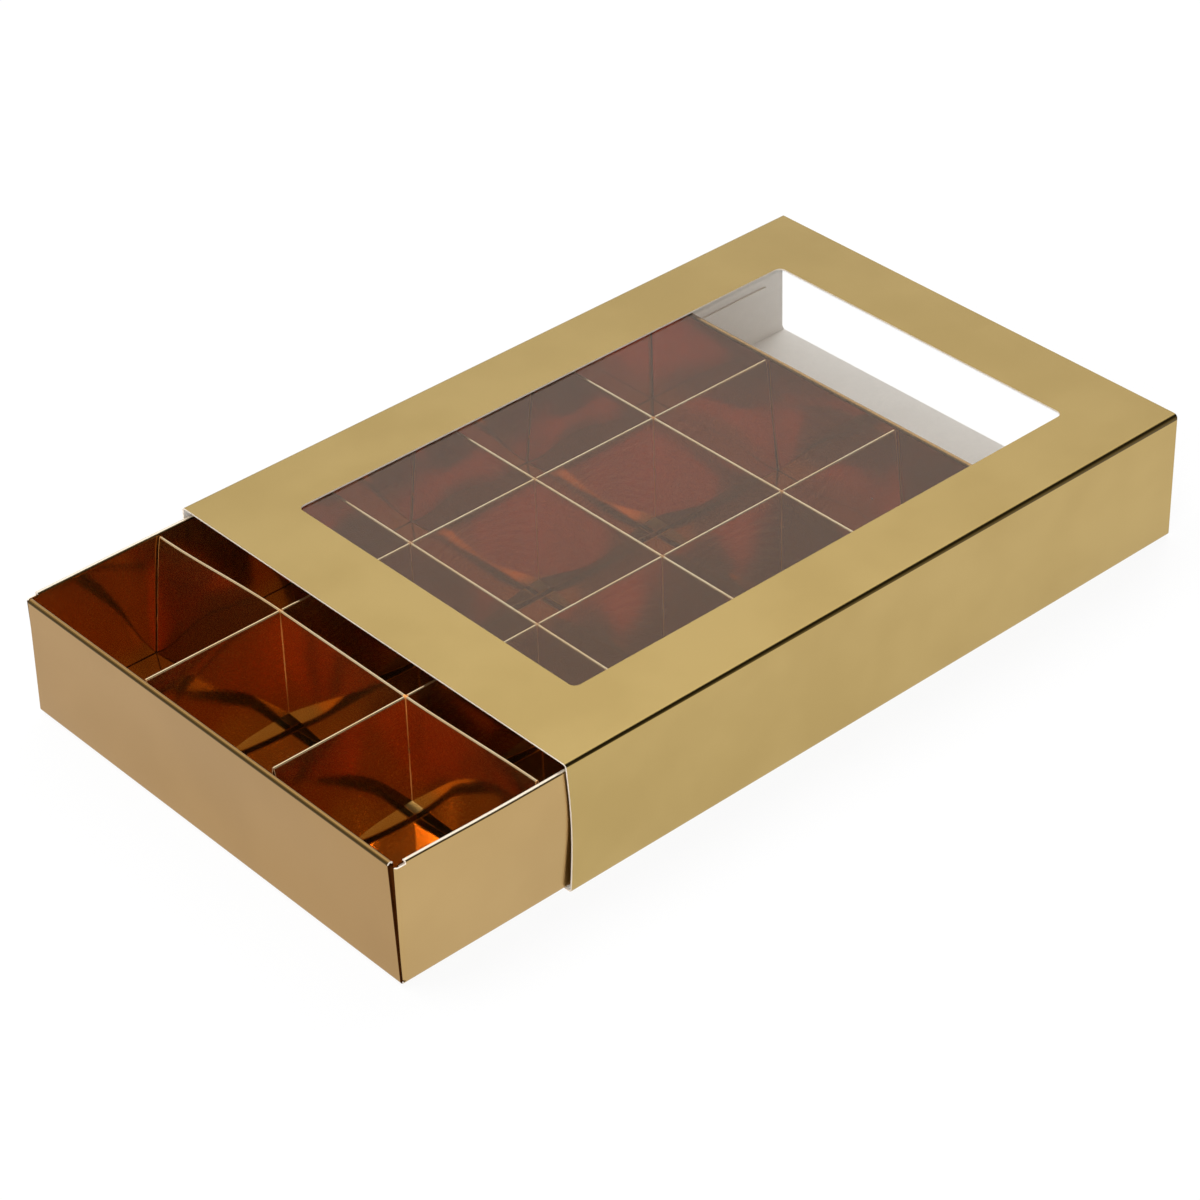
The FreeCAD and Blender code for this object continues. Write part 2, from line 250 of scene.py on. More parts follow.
def foilGrainGroup():    # slow clouds and a fine grain that every foil face shows
    group = bpy.data.node_groups.new("foilGrain", "ShaderNodeTree")
    for name, start in grainSockets.items():
        socket = group.interface.new_socket(name=name, in_out="INPUT", socket_type="NodeSocketFloat")
        socket.default_value = start
    for name in ("Clouds", "Grain", "Height"):
        group.interface.new_socket(name=name, in_out="OUTPUT", socket_type="NodeSocketFloat")
    nodes, links = group.nodes, group.links
    start, end = nodes.new("NodeGroupInput"), nodes.new("NodeGroupOutput")
    place = nodes.new("ShaderNodeTexCoord").outputs["Object"]
    clouds = noiseNode(nodes, links, place, grainSockets["Cloud scale"], 3.0)
    grain = noiseNode(nodes, links, place, grainSockets["Grain scale"], 1.0)
    links.new(start.outputs["Cloud scale"], clouds.node.inputs["Scale"])
    links.new(start.outputs["Grain scale"], grain.node.inputs["Scale"])
    fine = mathNode(nodes, links, "MULTIPLY", grain, start.outputs["Grain share"])
    links.new(clouds, end.inputs["Clouds"])
    links.new(grain, end.inputs["Grain"])
    links.new(mathNode(nodes, links, "ADD", clouds, fine), end.inputs["Height"])
    return group


foilGrain = foilGrainGroup()


def placeGrain(nodes, settings):     # settings in the order of the sockets
    grain = nodes.new("ShaderNodeGroup")
    grain.node_tree = foilGrain
    for name, value in zip(grainSockets, settings):
        grain.inputs[name].default_value = value
    return grain


def objectPlace(nodes):
    return nodes.new("ShaderNodeTexCoord").outputs["Object"]


def splitPlace(nodes, links):
    split = nodes.new("ShaderNodeSeparateXYZ")
    links.new(objectPlace(nodes), split.inputs[0])
    return split.outputs


satinSet = {
    "grain": (35, 6500, 0.35),
    "bump": 0.012 * mm,
    "soft": 0.05 * mm,           # half the width of a band's soft edge
    "paintedRimHighlightMetal": 0.5,
    "foils": {
        "sleeveGoldFoil": {
            "light": (0.475, 0.338, 0.124),
            "dark": (0.442, 0.311, 0.110),
            "rough": (0.20, 0.27),
            # painted shade along the crease
            "fold": (0.090, 0.058, 0.015),
            "band": (1.0 * mm, 0.13 * mm),       # how far under the top the painted shade band begins and ends
            "widening": 0.0042,                  # and how much it widens along x
        },
        "trayGoldFoil": {
            "light": (0.487, 0.327, 0.137),
            "dark": (0.458, 0.304, 0.125),
            "rough": (0.18, 0.24),
            # painted shade along the roll's fold
            "fold": (0.07, 0.042, 0.012),
            "band": (0.37 * mm, 0.22 * mm),
            "widening": 0,
            "paintedRimHighlight": (0.82, 0.72, 0.57),           # painted highlight, pale on top of the fold
        },
        # painted shade: a darker copy of the tray's gold foil, for the end walls
        "trayEndShadedFoil": {
            "light": (0.368, 0.214, 0.068),
            "dark": (0.348, 0.200, 0.062),
            "rough": (0.18, 0.24),
            # painted shade along the roll's fold
            "fold": (0.07, 0.042, 0.012),
            "band": (0.66 * mm, 0.16 * mm),
            "widening": 0,
        },
    },
}


def satinFoil(name, top):        # the outside: gold foil with a soft sheen
    look = satinSet["foils"][name]
    soft = satinSet["soft"]
    foldLow, foldHigh = (top - depth for depth in look["band"])
    finish, nodes, links, shader = newFinish(name)
    grain = placeGrain(nodes, satinSet["grain"])
    clouds = remap(nodes, links, grain.outputs["Clouds"], *cloudSpan, 0, 1)
    colour = mixColours(nodes, links, clouds, look["dark"], look["light"])
    # painted shade: the foil is darker in a band along the fold
    place = splitPlace(nodes, links)
    slope = mathNode(nodes, links, "MULTIPLY", place["X"], look["widening"])
    below = mathNode(nodes, links, "ADD", place["Z"], slope)
    aboveLow = remap(nodes, links, below, foldLow - soft, foldLow + soft, 0, 1)
    underHigh = remap(nodes, links, place["Z"], foldHigh - soft, foldHigh + soft, 1, 0)
    fold = mathNode(nodes, links, "MULTIPLY", aboveLow, underHigh)
    colour = mixColours(nodes, links, fold, colour, look["fold"])
    shader.inputs["Metallic"].default_value = 1
    # painted highlight: the top of the roll pale and less metallic
    if "paintedRimHighlight" in look:
        paintedRimHighlight = remap(nodes, links, place["Z"], foldHigh + 2 * soft, foldHigh + 3 * soft, 0, 1)
        colour = mixColours(nodes, links, paintedRimHighlight, colour, look["paintedRimHighlight"])
        links.new(remap(nodes, links, paintedRimHighlight, 0, 1, 1, satinSet["paintedRimHighlightMetal"]), shader.inputs["Metallic"])
    links.new(colour, shader.inputs["Base Color"])
    rough = remap(nodes, links, grain.outputs["Grain"], *grainSpan, *look["rough"])
    links.new(rough, shader.inputs["Roughness"])
    links.new(bumpNode(nodes, links, grain.outputs["Height"], satinSet["bump"]), shader.inputs["Normal"])
    return finish


mirrorSet = {
    "light": (0.71, 0.380, 0.098),
    "dark": (0.665, 0.350, 0.085),
    "grain": (60, 3500, 0.15),
    "bump": 0.02 * mm,
    "rough": (0.065, 0.105),
    "haze": 0.36,                    # dull pores between the bright ones
    "hazeScale": 14000,
    "hazeShare": (0.62, 0.70),
    "metal": 0.985,                  # the rest of the light is scattered in the lacquer
    "paintedRidgeHighlight": (0.78, 0.62, 0.38),      # painted highlight, pale along the fold
    "paintedRidgeHighlightDepth": 0.42 * mm,
    "paintedRidgeHighlightFull": 0.2,                 # share of that depth where it is palest
    "paintedRidgeHighlightClouds": (0.3, 0.6, 0.65, 1),
    "paintedRidgeHighlightRough": 0.08,
    "crease": (0.95, 0.44, 0.12),    # foil cracked open along an edge
    "creaseMetal": 0.45,
    "creaseWidth": (0.10 * mm, 0.24 * mm),
    "creaseClouds": (0.35, 0.6, 0.4, 1),
    "creaseRough": 0.15,
}


def mirrorFoil(name, top=None, edges=None):
    # the inside: bright foil, on a strip with a painted highlight along the fold at its top and cracked along
    # its edges
    look = mirrorSet
    finish, nodes, links, shader = newFinish(name)
    grain = placeGrain(nodes, look["grain"])
    clouds = remap(nodes, links, grain.outputs["Clouds"], *cloudSpan, 0, 1)
    colour = mixColours(nodes, links, clouds, look["dark"], look["light"])
    rough = remap(nodes, links, grain.outputs["Grain"], *grainSpan, *look["rough"])
    pores = noiseNode(nodes, links, objectPlace(nodes), look["hazeScale"], 0.0)
    haze = remap(nodes, links, pores, *look["hazeShare"], 0, look["haze"])
    rough = mathNode(nodes, links, "ADD", rough, haze)
    shader.inputs["Metallic"].default_value = look["metal"]
    if edges is not None:
        place = splitPlace(nodes, links)
        depth = look["paintedRidgeHighlightDepth"]
        # painted highlight: pale near the top of the strip
        paintedRidgeHighlight = remap(nodes, links, place["Z"], top - depth, top - look["paintedRidgeHighlightFull"] * depth, 0, 1)
        crease = remap(nodes, links, edges(nodes, links, place), *look["creaseWidth"], 1, 0)
        for kind, mask in (("paintedRidgeHighlight", paintedRidgeHighlight), ("crease", crease)):
            patches = remap(nodes, links, grain.outputs["Clouds"], *look[kind + "Clouds"])
            mask = mathNode(nodes, links, "MULTIPLY", mask, patches)
            colour = mixColours(nodes, links, mask, colour, look[kind])
            added = mathNode(nodes, links, "MULTIPLY", mask, look[kind + "Rough"])
            rough = mathNode(nodes, links, "ADD", rough, added)
        # the last mask is the crease
        metal = remap(nodes, links, mask, 0, 1, look["metal"], look["creaseMetal"])
        links.new(metal, shader.inputs["Metallic"])
    links.new(colour, shader.inputs["Base Color"])
    links.new(rough, shader.inputs["Roughness"])
    links.new(bumpNode(nodes, links, grain.outputs["Height"], look["bump"]), shader.inputs["Normal"])
    return finish


foilEdgeSet = {
    "light": (0.97, 0.76, 0.48),
    "dark": (0.80, 0.47, 0.20),
    "nickScale": 1500,
    "rough": (0.35, 0.5),
    "metal": 0.6,
}


def foilEdge(name):      # a cut edge that shows the foil's bright side
    look = foilEdgeSet
    finish, nodes, links, shader = newFinish(name)
    nicks = noiseNode(nodes, links, objectPlace(nodes), look["nickScale"], 2.0)
    mask = remap(nodes, links, nicks, *cloudSpan, 0, 1)
    links.new(mixColours(nodes, links, mask, look["dark"], look["light"]), shader.inputs["Base Color"])
    links.new(remap(nodes, links, nicks, *grainSpan, *look["rough"]), shader.inputs["Roughness"])
    shader.inputs["Metallic"].default_value = look["metal"]
    return finish


paperSet = {
    "mottleScale": 90,
    "shares": (0.6, 0.4),        # of fibres and mottle in the colour
    "rough": (0.55, 0.75),
    "bump": 0.01 * mm,
    "boards": {
        "paleBoardBack": {
            "light": (0.86, 0.835, 0.785),
            "dark": (0.80, 0.775, 0.725),
            "fibre": 900,
            "sheen": 0.5,
        },
        "creamCutEdge": {
            "light": (0.84, 0.75, 0.65),
            "dark": (0.74, 0.64, 0.53),
            "fibre": 2500,
            "sheen": 0.5,
        },
        # painted shade: near-black board for the flaps and edges in the slits
        "paintedSlitShade": {
            "light": (0.050, 0.013, 0.002),
            "dark": (0.030, 0.008, 0.001),
            "fibre": 1200,
            "sheen": 0.0,
        },
    },
}


def paperBoard(name):    # the bare back of the board, its cut edge, and near-black board as painted shade deep in a slit
    look = paperSet["boards"][name]
    finish, nodes, links, shader = newFinish(name)
    place = objectPlace(nodes)
    fibres = noiseNode(nodes, links, place, look["fibre"], 4.0, 0.6)
    mottle = noiseNode(nodes, links, place, paperSet["mottleScale"], 2.0)
    parts = [mathNode(nodes, links, "MULTIPLY", noise, share)
             for noise, share in zip((fibres, mottle), paperSet["shares"])]
    mask = remap(nodes, links, mathNode(nodes, links, "ADD", *parts), *grainSpan, 0, 1)
    links.new(mixColours(nodes, links, mask, look["dark"], look["light"]), shader.inputs["Base Color"])
    links.new(remap(nodes, links, fibres, *grainSpan, *paperSet["rough"]), shader.inputs["Roughness"])
    links.new(bumpNode(nodes, links, fibres, paperSet["bump"]), shader.inputs["Normal"])
    shader.inputs["Specular IOR Level"].default_value = look["sheen"]
    return finish


clearFilmSet = {
    "clear": (0.97, 0.965, 0.955),
    "dusty": (0.75, 0.72, 0.68),
    "speckScale": 130,
    "speckSize": (0.02, 0.05),
    "patchScale": 55,            # specks lie in patches
    "patchSpan": (0.58, 0.62),
    "dustRough": 0.6,
    "smearScale": 25,
    "smearSpan": (0.4, 0.7),
    "smearRough": 0.02,
    "bend": 1.40,                # index of refraction
    "tint": (1.0, 0.47, 0.14),   # of what it mirrors
}


def clearFilm(name):     # thin clear sheet with a few specks of dust and faint smears
    look = clearFilmSet
    finish, nodes, links, shader = newFinish(name)
    place = objectPlace(nodes)
    specks = nodes.new("ShaderNodeTexVoronoi")
    specks.inputs["Scale"].default_value = look["speckScale"]
    links.new(place, specks.inputs["Vector"])
    dust = remap(nodes, links, specks.outputs["Distance"], *look["speckSize"], 1, 0)
    patches = noiseNode(nodes, links, place, look["patchScale"], 1.0)
    dust = mathNode(nodes, links, "MULTIPLY", dust, remap(nodes, links, patches, *look["patchSpan"], 0, 1))
    links.new(mixColours(nodes, links, dust, look["clear"], look["dusty"]), shader.inputs["Base Color"])
    smears = noiseNode(nodes, links, place, look["smearScale"], 3.0)
    smeared = remap(nodes, links, smears, *look["smearSpan"], 0, look["smearRough"])
    dusted = mathNode(nodes, links, "MULTIPLY", dust, look["dustRough"])
    links.new(mathNode(nodes, links, "ADD", smeared, dusted), shader.inputs["Roughness"])
    shader.inputs["IOR"].default_value = look["bend"]
    shader.inputs["Specular Tint"].default_value = (*look["tint"], 1)
    shader.inputs["Transmission Weight"].default_value = 1
    return finish


glueSet = {
    "light": (0.93, 0.91, 0.87),
    "dark": (0.86, 0.83, 0.78),
    "strokeScale": 180,
    "rough": (0.3, 0.5),
    "bump": 0.02 * mm,
}


def driedGlue(name):     # pale adhesive with the strokes of its brush
    look = glueSet
    finish, nodes, links, shader = newFinish(name)
    strokes = noiseNode(nodes, links, objectPlace(nodes), look["strokeScale"], 3.0)
    links.new(mixColours(nodes, links, strokes, look["dark"], look["light"]), shader.inputs["Base Color"])
    links.new(remap(nodes, links, strokes, *grainSpan, *look["rough"]), shader.inputs["Roughness"])
    links.new(bumpNode(nodes, links, strokes, look["bump"]), shader.inputs["Normal"])
    return finish


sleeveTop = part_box("sleeve")[1].z
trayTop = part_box("tray")[1].z
sleeveFoil = satinFoil("sleeveGoldFoil", sleeveTop)
trayFoil = satinFoil("trayGoldFoil", trayTop)
# painted shade: the end walls take a darker copy of the tray foil
shadedEndFoil = satinFoil("trayEndShadedFoil", trayTop)
cellFoil = mirrorFoil("cellMirrorFoil")
paleBack = paperBoard("paleBoardBack")
cutEdge = paperBoard("creamCutEdge")
paintedSlitShadeBoard = paperBoard("paintedSlitShade")
brightEdge = foilEdge("foilCutEdge")
film = clearFilm("clearWindowFilm")
glue = driedGlue("driedGlue")
print("materials made")


# Sleeve

sleeveSet = {
    "board": 0.4 * mm,
    "crease": 1.0 * mm,
    "creaseSteps": 6,
    "flapCrease": 0.5 * mm,
    "seamStep": 0.5 * mm,        # the glue flap's face lies this far inside the wall's face
    "wallFoot": 0.3 * mm,
    "flapHeight": 14.8 * mm,
    "flapEnd": 6 * mm,
    "windowBorder": 17.8 * mm,
    "windowCorner": 1.6 * mm,
    "cornerSteps": 6,
    "bow": 0.25 * mm,            # how far the near wall draws in along its middle
    "cutBack": 0.8 * mm,         # the near wall's open edge is not quite straight
    "cutReach": 30 * mm,
    "endReach": 1.05 * mm,       # rounded folds within this of an open edge are drawn out to it
    "columns": 29,
    "rows": 7,
}


def makeSleeve():
    s = sleeveSet
    low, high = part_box("sleeve")
    flapY = high.y - s["seamStep"]
    flapTop = low.z + s["flapHeight"]
    path = [(flapY, flapTop), (flapY, low.z), (low.y, low.z), (low.y, high.z), (high.y, high.z),
            (high.y, low.z + s["wallFoot"])]
    piece = pullStrip("sleeveBoard", "x", (low.x, high.x), path)
    # the flap narrows to its top
    pick(piece, "VERT", lambda p: onFold(p, "x", path[0]))
    share = 1 - 2 * s["flapEnd"] / (high.x - low.x)
    bpy.ops.transform.resize(value=(share, 1, 1), center_override=(0, flapY, flapTop))
    # the window: inset in the top, its corners rounded, then cut out
    pick(piece, "FACE", lambda p: near(p.z, high.z))
    bpy.ops.mesh.inset(thickness=s["windowBorder"], use_even_offset=True)
    bpy.ops.mesh.select_mode(type="VERT")
    bpy.ops.mesh.bevel(offset=s["windowCorner"], segments=s["cornerSteps"], affect="VERTICES")
    trim(piece, lambda p: near(p.z, high.z) and abs(p.x) < mm and abs(p.y) < mm)
    roundFolds(piece, "x", [(corner, s["crease"]) for corner in path[2:5]], s["creaseSteps"])
    roundFolds(piece, "x", [(path[1], s["flapCrease"])], s["creaseSteps"])
    squareEnds(piece, (low.x, high.x), s["endReach"])
    slicePiece(piece, (1, 0, 0), spread(low.x, high.x, s["columns"]), lambda p: p.z < high.z - hair)
    levels = spread(low.z + s["crease"], high.z - s["crease"], s["rows"])
    slicePiece(piece, (0, 0, 1), levels, lambda p: near(p.y, low.y))
    faceOut(piece, lambda p: near(p.z, high.z), (0, 0, 1))
    # the near wall draws in a little between its creases, least at the drawn end
    for v in piece.data.vertices:
        if v.co.y < low.y + hair:
            up = (v.co.z - low.z - s["crease"]) / (high.z - low.z - 2 * s["crease"])
            along = (v.co.x - low.x) / (high.x - low.x)
            belly = math.sin(math.pi * min(max(up, 0), 1))
            v.co.y += s["bow"] * belly * math.sin(math.pi * along)
            v.co.x += s["cutBack"] * belly * max(0, 1 - (v.co.x - low.x) / s["cutReach"])
    thicken(piece, s["board"], (sleeveFoil, paleBack, cutEdge))
    for v in piece.data.vertices:        # the bowed wall's end tips out by a hair
        v.co.x = min(max(v.co.x, low.x), high.x)
        v.co.z = min(v.co.z, high.z)
    finishPiece(piece, "sleeve", "sleeve_foil_board", "sleeve")


makeSleeve()


# Window film

filmSet = {
    "columns": 48,
    "rows": 32,
    "sag": 0.22 * mm,
    "ripple": 0.012 * mm,
    "ripples": 5,
    "crossRipples": 0.7,         # times as many the other way
    "border": 8 * mm,            # glued under the top all round
}


def makeFilm():
    s = filmSet
    low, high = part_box("window_film")
    clearSelection()
    bpy.ops.mesh.primitive_grid_add(x_subdivisions=s["columns"], y_subdivisions=s["rows"], size=2)
    piece = bpy.context.object
    piece.name = piece.data.name = "windowFilm"
    half = (high - low) / 2
    for v in piece.data.vertices:
        u, w = v.co.x, v.co.y
        freeU = smooth((half.x * (1 - abs(u)) - s["border"]) / (half.x - s["border"]))
        freeW = smooth((half.y * (1 - abs(w)) - s["border"]) / (half.y - s["border"]))
        waves = math.sin(s["ripples"] * math.pi * u)
        waves *= math.cos(s["crossRipples"] * s["ripples"] * math.pi * w + u)
        dip = (s["sag"] + s["ripple"] * waves) * freeU * freeW
        v.co = Vector((u * half.x, w * half.y, high.z - dip))
    faceOut(piece, lambda p: True, (0, 0, 1))
    thicken(piece, high.z - low.z, (film,))
    finishPiece(piece, "sleeve", "clear_film", "window_film")


makeFilm()


# Tray

traySet = {
    "board": 0.4 * mm,
    "crease": 0.9 * mm,
    "longWall": 1.15 * mm,       # whole thickness of a rolled long wall
    "endWall": 1.4 * mm,         # and of an end wall, with the corner flap inside
    "rollShare": 0.45,
    "rollSteps": 5,
    "flapStep": 0.5 * mm,        # the corner flaps stand this far behind the end wall's face
    "flapLength": 26 * mm,
    "footGap": 0.2 * mm,
    "panelGap": 0.4 * mm,
    "notchLength": 3.1 * mm,
    "notchDrop": 0.9 * mm,
    "endEdge": 0.55 * mm,        # the end wall's edge stands this far from the corner at the bottom
    "slit": 1.3 * mm,            # and this much further at the top
    "bow": 0.3 * mm,
    "spring": (0.6 * mm, 0.15 * mm),     # how far each long wall leans out
    "springReach": 30 * mm,
    "springFrom": 0.05,          # shares of the height between which a wall leans
    "springFull": 0.7,
    "floorWave": 0.03 * mm,
    "floorWaves": (9 * mm, 7 * mm),
    "lip": 0.1 * mm,             # floor that goes with an end wall
    "flapFace": 0.1 * mm,        # faces this near to a flap's place belong to it
    "edgeRoom": 1.5 * mm,        # no level cuts nearer than this to a wall's edge
    "columns": 35,
    "rows": 6,
    "floorRows": 23,
    "endColumns": 23,
    "endRows": 7,
}


def makeTrayBoard():     # floor, long walls rolled over inwards, and corner flaps
    s = traySet
    low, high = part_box("tray")
    foot = low.z + s["board"] + s["footGap"]
    inner = (low.y + s["longWall"], high.y - s["longWall"])
    roll = s["rollShare"] * s["longWall"]
    path = [(inner[0], foot), (inner[0], high.z), (low.y, high.z), (low.y, low.z),
            (high.y, low.z), (high.y, high.z), (inner[1], high.z), (inner[1], foot)]
    ends = (low.x + s["flapStep"], high.x - s["flapStep"])
    piece = pullStrip("trayBoard", "x", ends, path)
    rolled = (path[1], path[2], path[5], path[6])
    roundFolds(piece, "x", [(corner, roll) for corner in rolled], s["rollSteps"])
    roundFolds(piece, "x", [(corner, s["crease"]) for corner in path[3:5]], s["rollSteps"])
    # corner flaps: the ends of the long walls turn round the corners
    for x in ends:
        for y, turn in ((low.y, 1), (high.y, -1)):
            isCorner = lambda p: near(p.x, x) and near(p.y, y)
            pick(piece, "EDGE", isCorner)
            step = (0, turn * s["flapLength"], 0)
            bpy.ops.mesh.extrude_region_move(TRANSFORM_OT_translate={"value": step})
            pick(piece, "EDGE", isCorner)
            bpy.ops.mesh.bevel(offset=s["crease"], segments=s["rollSteps"], affect="EDGES")
    shoulder = high.z - s["notchDrop"]
    panelEnd = s["endWall"] + s["panelGap"]
    floorEnd = s["crease"] + s["lip"]
    offsets = (floorEnd, panelEnd, s["notchLength"])
    cuts = [low.x + d for d in offsets] + [high.x - d for d in offsets]
    slicePiece(piece, (1, 0, 0), cuts + spread(low.x, high.x, s["columns"]))
    slicePiece(piece, (0, 0, 1), [shoulder] + spread(low.z + s["edgeRoom"], shoulder, s["rows"]))
    slicePiece(piece, (0, 1, 0), spread(low.y, high.y, s["floorRows"]), lambda p: near(p.z, low.z))
    # the rolls stop short of the corners, and the inside panels and the floor end at the end walls
    isPanel = lambda p: near(p.y, inner[0]) or near(p.y, inner[1])
    fromEnd = lambda p: min(p.x - low.x, high.x - p.x)
    trim(piece, lambda p: p.z > shoulder and fromEnd(p) < s["notchLength"])
    trim(piece, lambda p: isPanel(p) and fromEnd(p) < panelEnd)
    trim(piece, lambda p: near(p.z, low.z) and fromEnd(p) < floorEnd)
    faceOut(piece, lambda p: near(p.z, low.z), (0, 0, -1))
    for face in piece.data.polygons:     # bright foil inside the walls, painted shade on the flaps in the slits
        toFlap = min(abs(face.center.x - x) for x in ends)
        if isPanel(face.center):
            face.material_index = 1
        elif toFlap < s["flapFace"] and face.center.z > low.z + hair:
            face.material_index = 3
    shapeTray(piece, low, high)
    thicken(piece, s["board"], (trayFoil, cellFoil, cutEdge, paintedSlitShadeBoard))
    finishPiece(piece, "tray", "tray_foil_board", "tray")


def shapeTray(piece, low, high):     # long walls lean out between the corners, and the floor has slight waves
    s = traySet
    waveX, waveY = s["floorWaves"]
    for v in piece.data.vertices:
        along = smooth(min(v.co.x - low.x, high.x - v.co.x) / s["springReach"])
        up = (v.co.z - low.z) / (high.z - low.z)
        if up > s["springFrom"]:
            side = 1 if v.co.y > 0 else -1
            v.co.y += side * s["spring"][side > 0] * along * smooth(up / s["springFull"])
        else:
            v.co.z += s["floorWave"] * (1 + math.sin(v.co.x / waveX) * math.cos(v.co.y / waveY))


def makeTrayEnd(name, atFront):      # outside the flaps: end wall, roll and inside panel
    s = traySet
    low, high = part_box("tray")
    face, inward = (low.x, 1) if atFront else (high.x, -1)
    foot = low.z + s["board"] + s["footGap"]
    back = face + inward * s["endWall"]
    path = [(face + inward * (s["crease"] + s["lip"]), low.z), (face, low.z), (face, high.z), (back, high.z),
            (back, foot)]
    side = s["endEdge"]
    piece = pullStrip(name, "y", (low.y + side, high.y - side), path)
    # the wall's edges lean in to its top, which leaves a slit at each corner
    middle = (low.y + high.y) / 2
    share = 1 - 2 * s["slit"] / (high.y - low.y - 2 * side)
    pick(piece, "VERT", lambda p: p.z > low.z + hair)
    bpy.ops.transform.resize(value=(1, share, 1), center_override=(face, middle, high.z))
    roll = s["rollShare"] * s["endWall"]
    roundFolds(piece, "y", [(path[2], roll), (path[3], roll), (path[1], s["crease"])], s["rollSteps"])
    slicePiece(piece, (0, 1, 0), spread(low.y, high.y, s["endColumns"]))
    slicePiece(piece, (0, 0, 1), spread(low.z + s["edgeRoom"], high.z - s["edgeRoom"], s["endRows"]))
    faceOut(piece, lambda p: near(p.x, face), (-inward, 0, 0))
    for polygon in piece.data.polygons:
        if near(polygon.center.x, back):
            polygon.material_index = 1
    for v in piece.data.vertices:
        along = (v.co.y - low.y) / (high.y - low.y)
        up = min(max((v.co.z - low.z - s["crease"]) / (high.z - low.z - 2 * s["crease"]), 0), 1)
        v.co.x += inward * s["bow"] * math.sin(math.pi * along) * math.sin(math.pi * up)
    thicken(piece, s["board"], (shadedEndFoil, cellFoil, cutEdge, paintedSlitShadeBoard))
    for polygon in piece.data.polygons:      # painted shade on the wall's side edges, which lie in the slits
        if polygon.material_index == 2 and polygon.center.z < high.z - s["notchDrop"]:
            polygon.material_index = 3
    finishPiece(piece, "tray", "tray_foil_board", "tray")


makeTrayBoard()
makeTrayEnd("trayFrontEnd", True)
makeTrayEnd("trayBackEnd", False)


# Dividers

dividerSet = {
    "board": 0.3 * mm,
    "ridge": 0.36 * mm,          # half the width of the fold, and its radius
    "base": 1.0 * mm,            # half the width of the legs where a slot holds them
    "belly": 0.7 * mm,           # how much further the legs stand apart between two slots
    "flare": {"long": 2.8 * mm, "cross": 3.4 * mm},      # and at the free ends
    "flareReach": 24 * mm,
    "flareCurve": (0.35, 0.65),  # shares that grow with the root of the depth and with the depth
    "legCurve": 1.3,             # the legs part faster further down
    "slot": {"long": 0.68 * mm, "cross": 1.06 * mm},     # half a slot's width at its widest
    "slotRoom": 0.05 * mm,       # between a slot and the legs it takes
    "arch": 2.7 * mm,            # the lower edge lifts this far off the floor at a slot
    "archMiddle": 1.6 * mm,      # and this far midway between two slots
    "lowArch": {"crossDivider2": 0.4 * mm},              # or less
    "legRows": 12,
    "ridgeRows": 3,
    "ridgeTop": 0.2 * mm,        # faces above this depth look up
    "step": 2.6 * mm,            # columns along the strip
    "setBack": {"longDivider1": 1.0 * mm},               # its drawn end stops short of the end wall
    "reach": {"long": 0, "cross": 0.2 * mm},             # the far end goes up to the leaning wall
    "sway": {"crossDivider1": (1.0 * mm, -1.9 * mm)},    # its two free ends stand to the side
}


def strips(kind):        # the nodes of one kind, and the middle of each across its run
    nodes = [n for n in sorted(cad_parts) if n.startswith(kind + "_divider")]
    across = 1 if kind == "long" else 0
    return nodes, [sum(corner[across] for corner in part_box(n)) / 2 for n in nodes]


def stripFoil(kind, node, slots):    # its creases run down beside the slots and at both ends
    s = dividerSet
    low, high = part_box(node)
    axis = 0 if kind == "long" else 1
    foot = low.z + s["arch"]
    ends = (low[axis], high[axis] + s["reach"][kind])

    def edges(nodes, links, place):
        along = place["XY"[axis]]
        down = remap(nodes, links, place["Z"], foot, high.z - s["ridge"], 1, 0, "LINEAR")
        parted = mathNode(nodes, links, "POWER", down, s["legCurve"])
        width = mathNode(nodes, links, "MULTIPLY", parted, s["base"] - s["ridge"])
        width = mathNode(nodes, links, "ADD", width, s["ridge"])
        gaps = []
        for stop in (*slots, *ends):
            gap = mathNode(nodes, links, "ABSOLUTE", mathNode(nodes, links, "SUBTRACT", along, stop), 0)
            gaps.append(mathNode(nodes, links, "SUBTRACT", gap, width) if stop in slots else gap)
        nearest = gaps[0]
        for gap in gaps[1:]:
            nearest = mathNode(nodes, links, "MINIMUM", nearest, gap)
        return nearest

    return mirrorFoil(kind + "DividerFoil", high.z, edges)


def dividerColumns(start, end, slots, halfSlot):     # places along the strip, with both sides of each slot
    s = dividerSet
    stops = [start, end]
    stops += [c + side * halfSlot for c in slots for side in (-1, 1)]
    stops.sort()
    columns = []
    for a, b in zip(stops, stops[1:]):
        columns += [a] + spread(a, b, int((b - a) / s["step"]))
    return columns + [stops[-1]]


